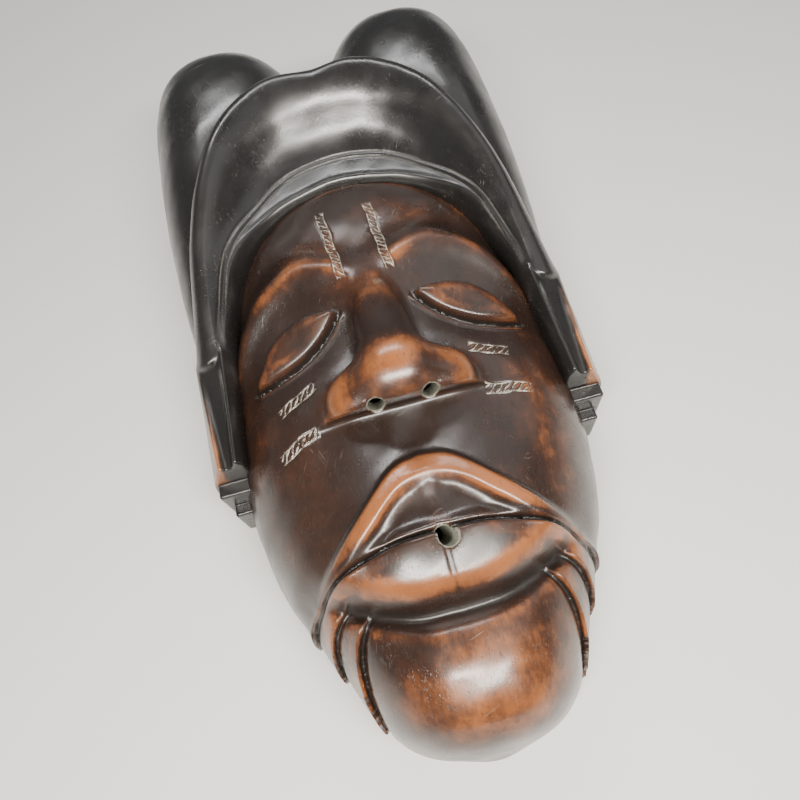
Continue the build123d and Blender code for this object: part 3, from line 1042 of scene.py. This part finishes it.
rubbed = calc(wear_and_shade, "MULTIPLY", ramp(wear_and_shade, uneven, 0.05, 1.15), ramp(wear_and_shade, amount, 0.0, 0.3))
feed(wear_and_shade, result["Rub"], rubbed)
# The second output is painted shade: a mask that darkens the sunken places, where shade falls
feed(wear_and_shade, result["PaintedRecessShade"], ramp(wear_and_shade, calc(wear_and_shade, "MULTIPLY", given["Sunk"], -1), 0.12, 0.9))

# Hairline scratches in loose clusters, in three directions
scratches, given, result = new_group("scratches", {"Amount": 1.0}, ("Lines",))
lines = 0.0
for turn, width in ((0.5, 1500), (-0.35, 1900), (1.25, 1300)):
    streak = noise(scratches, place(scratches, (1, 0.022, 0.3), (0.1, 0.2, turn)), width, 2, 0.5)
    cluster = noise(scratches, place(scratches, (1, 1, 1), (0, 0, turn)), 38 + 10 * turn, 2, 0.5)
    line = ramp(scratches, streak, 0.66, 0.73, 0.0, 0.6)
    thin = calc(scratches, "MULTIPLY", line, ramp(scratches, cluster, 0.52, 0.70))
    lines = calc(scratches, "MAXIMUM", lines, thin)
feed(scratches, result["Lines"], calc(scratches, "MULTIPLY", lines, given["Amount"]))


# ================================================================ materials
def shade(tree, colour, roughness, height, depth, **others):
    """Finishes a material: colour, roughness and a bump whose height is depth metres for each unit."""
    bump = node(tree, "ShaderNodeBump", {"Height": height, "Distance": depth, "Strength": 1.0})
    shader = tree.nodes["Principled BSDF"]
    feed(tree, shader.inputs["Base Color"], colour)
    feed(tree, shader.inputs["Roughness"], roughness)
    feed(tree, shader.inputs["Normal"], bump.outputs["Normal"])
    for key, value in others.items():
        feed(tree, shader.inputs[key.replace("_", " ")], value)


def new_material(name):
    material = bpy.data.materials.new(name)
    material.use_nodes = True
    return material, material.node_tree


def stained_wood(name, stain, brown, orange, gloss, rub_spread, haze):
    """Wood stained dark and burnished, warm where it is rubbed, pale where it is cut, bare at the back,
    with painted shade darkening its recesses.
    """
    material, tree = new_material(name)
    fibres = call(tree, grain, Fineness=1.0)
    rub, high, sunk = (stored(tree, key) for key in ("rub", "high", "sunk"))
    wear_and_shade_out = call(tree, wear_and_shade, Rub=rub, High=high, Sunk=sunk, Spread=rub_spread)
    marks = call(tree, scratches, Amount=1.0)["Lines"]
    warm = blend(tree, ramp(tree, wear_and_shade_out["Rub"], 0.25, 0.95), brown, orange)
    warm = blend(tree, ramp(tree, fibres["Figure"], 0.35, 0.75, 0.0, 0.45), warm, brown)
    lighter = [channel * 2.1 for channel in stain[:3]] + [1]
    dark = blend(tree, ramp(tree, fibres["Figure"], 0.4, 0.8, 0.0, 0.5), stain, lighter)
    colour = blend(tree, wear_and_shade_out["Rub"], dark, warm)
    colour = blend(tree, calc(tree, "MULTIPLY", fibres["Pores"], 0.45), colour, (0.006, 0.004, 0.003, 1))
    # Painted shade: the recesses are darkened towards near black
    colour = blend(tree, calc(tree, "MULTIPLY", wear_and_shade_out["PaintedRecessShade"], 0.7), colour, (0.006, 0.005, 0.004, 1))
    colour = blend(tree, calc(tree, "MULTIPLY", marks, haze), colour, (0.20, 0.17, 0.14, 1))
    speckle = noise(tree, place(tree), 1800, 3, 0.6)
    cut = calc(tree, "MULTIPLY", stored(tree, "cut"), ramp(tree, speckle, 0.3, 0.55, 0.45, 1.0))
    colour = blend(tree, ramp(tree, cut, 0.12, 0.75, 0.0, 0.85), colour, (0.42, 0.38, 0.30, 1))
    raw = blend(tree, ramp(tree, speckle, 0.35, 0.7), (0.30, 0.31, 0.25, 1), (0.17, 0.16, 0.12, 1))
    colour = blend(tree, stored(tree, "raw"), colour, raw)
    figure = ramp(tree, fibres["Figure"], 0.3, 0.7)
    bare = blend(tree, figure, (0.085, 0.045, 0.022, 1), (0.035, 0.019, 0.011, 1))
    bare = blend(tree, ramp(tree, fibres["Fibre"], 0.42, 0.62, 0.0, 0.5), bare, (0.13, 0.075, 0.04, 1))
    is_bare = calc(tree, "MINIMUM", stored(tree, "bare"), 1.0)
    colour = blend(tree, is_bare, colour, bare)
    dull = noise(tree, place(tree), 42, 5, 0.6)
    rough = ramp(tree, dull, 0.3, 0.72, gloss - 0.06, gloss + 0.12)
    rough = calc(tree, "ADD", rough, calc(tree, "MULTIPLY", marks, 0.25))
    rough = calc(tree, "ADD", rough, calc(tree, "MULTIPLY", wear_and_shade_out["PaintedRecessShade"], 0.15))
    open_wood = calc(tree, "MAXIMUM", calc(tree, "MAXIMUM", is_bare, stored(tree, "raw")), cut)
    rough = calc(tree, "MAXIMUM", rough, calc(tree, "MULTIPLY", open_wood, 0.78))
    pits = calc(tree, "MULTIPLY", fibres["Pores"], 0.6)
    height = calc(tree, "SUBTRACT", calc(tree, "MULTIPLY", fibres["Fibre"], 0.5), pits)
    height = calc(tree, "SUBTRACT", height, calc(tree, "MULTIPLY", marks, 0.7))
    height = calc(tree, "MULTIPLY", height, calc(tree, "ADD", calc(tree, "MULTIPLY", is_bare, 2.5), 1.0))
    coat = calc(tree, "MULTIPLY", calc(tree, "SUBTRACT", 1.0, open_wood), 0.25)
    shade(tree, colour, rough, height, 0.00006, Coat_Weight=coat, Coat_Roughness=0.22)
    return material


face_wood = stained_wood(
    "face wood",
    stain=(0.014, 0.008, 0.006, 1),
    brown=(0.070, 0.024, 0.010, 1),
    orange=(0.215, 0.073, 0.022, 1),
    gloss=0.28,
    rub_spread=0.9,
    haze=0.3,
)
headdress_wood = stained_wood(
    "headdress wood",
    stain=(0.009, 0.0085, 0.008, 1),
    brown=(0.060, 0.028, 0.015, 1),
    orange=(0.30, 0.11, 0.034, 1),
    gloss=0.28,
    rub_spread=0.25,
    haze=0.6,
)
face.data.materials.append(face_wood)
headdress.data.materials.append(headdress_wood)


def tarnished_metal(name, colour, dull_colour, roughness):
    """Metal with a brown tarnish in patches."""
    material, tree = new_material(name)
    patches = noise(tree, place(tree), 420, 5, 0.6)
    tarnish = ramp(tree, patches, 0.42, 0.66)
    marks = call(tree, scratches, Amount=1.0)["Lines"]
    rough = ramp(tree, patches, 0.3, 0.7, roughness, roughness + 0.25)
    rough = calc(tree, "ADD", rough, calc(tree, "MULTIPLY", marks, 0.1))
    shade(tree, blend(tree, tarnish, colour, dull_colour), rough, patches, 0.00002, Metallic=0.95)
    return material


brass = tarnished_metal("old brass", (0.55, 0.38, 0.15, 1), (0.16, 0.09, 0.035, 1), 0.30)
steel = tarnished_metal("screw steel", (0.42, 0.41, 0.40, 1), (0.16, 0.11, 0.08, 1), 0.35)
for name, metal in (("hanger_strap", brass), ("hanger_ring", brass), ("hanger_screw", steel)):
    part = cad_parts[name]
    part.data.materials.clear()
    part.data.materials.append(metal)


# ================================================================ the studio
def area_light(name, place_at, target, size, power, colour=(1, 1, 1)):
    data = bpy.data.lights.new(name, "AREA")
    data.shape = "RECTANGLE"
    data.size, data.size_y = size
    data.energy = power
    data.color = colour
    light = bpy.data.objects.new(name, data)
    light.location = place_at
    light.rotation_euler = (Vector(target) - Vector(place_at)).to_track_quat("-Z", "Y").to_euler()
    bpy.context.scene.collection.objects.link(light)
    return light


floor_mesh = bpy.data.meshes.new("floor")
floor_mesh.from_pydata([(-15, -15, 0), (15, -15, 0), (15, 15, 0), (-15, 15, 0)], [], [(0, 1, 2, 3)])
floor = bpy.data.objects.new("floor", floor_mesh)
bpy.context.scene.collection.objects.link(floor)
floor.location.z = -0.0005
floor_paper, floor_tree = new_material("pale paper")
floor_tree.nodes["Principled BSDF"].inputs["Base Color"].default_value = (0.55, 0.54, 0.52, 1)
floor_tree.nodes["Principled BSDF"].inputs["Roughness"].default_value = 0.6
floor.data.materials.append(floor_paper)

area_light("key", (0.0, -0.31, 0.48), (0, -0.02, 0.05), (0.62, 0.08), 11.0, (1.0, 0.95, 0.88))
area_light("fill", (0.9, 0.3, 1.1), (0, 0, 0), (1.2, 1.2), 4.0)
area_light("back", (0.0, 0.62, 0.86), (0, 0.02, 0.05), (0.8, 0.10), 7.0)
world = bpy.data.worlds.new("studio")
world.use_nodes = True
world.node_tree.nodes["Background"].inputs["Color"].default_value = (0.8, 0.83, 0.88, 1)
world.node_tree.nodes["Background"].inputs["Strength"].default_value = 0.18
bpy.context.scene.world = world

camera_data = bpy.data.cameras.new("camera")
camera_data.lens = 28.1
camera_data.sensor_width = 36
camera_data.clip_start = 0.01
camera = bpy.data.objects.new("camera", camera_data)
bpy.context.scene.collection.objects.link(camera)
bpy.context.scene.camera = camera
forward, up = Vector((0.02665, 0.45174, -0.89175)), Vector((0.26222, 0.85767, 0.44231))
right = forward.cross(up).normalized()
camera.matrix_world = Matrix(
    (
        (right.x, up.x, -forward.x, -0.0073),
        (right.y, up.y, -forward.y, -0.1567),
        (right.z, up.z, -forward.z, 0.27),
        (0, 0, 0, 1),
    )
)
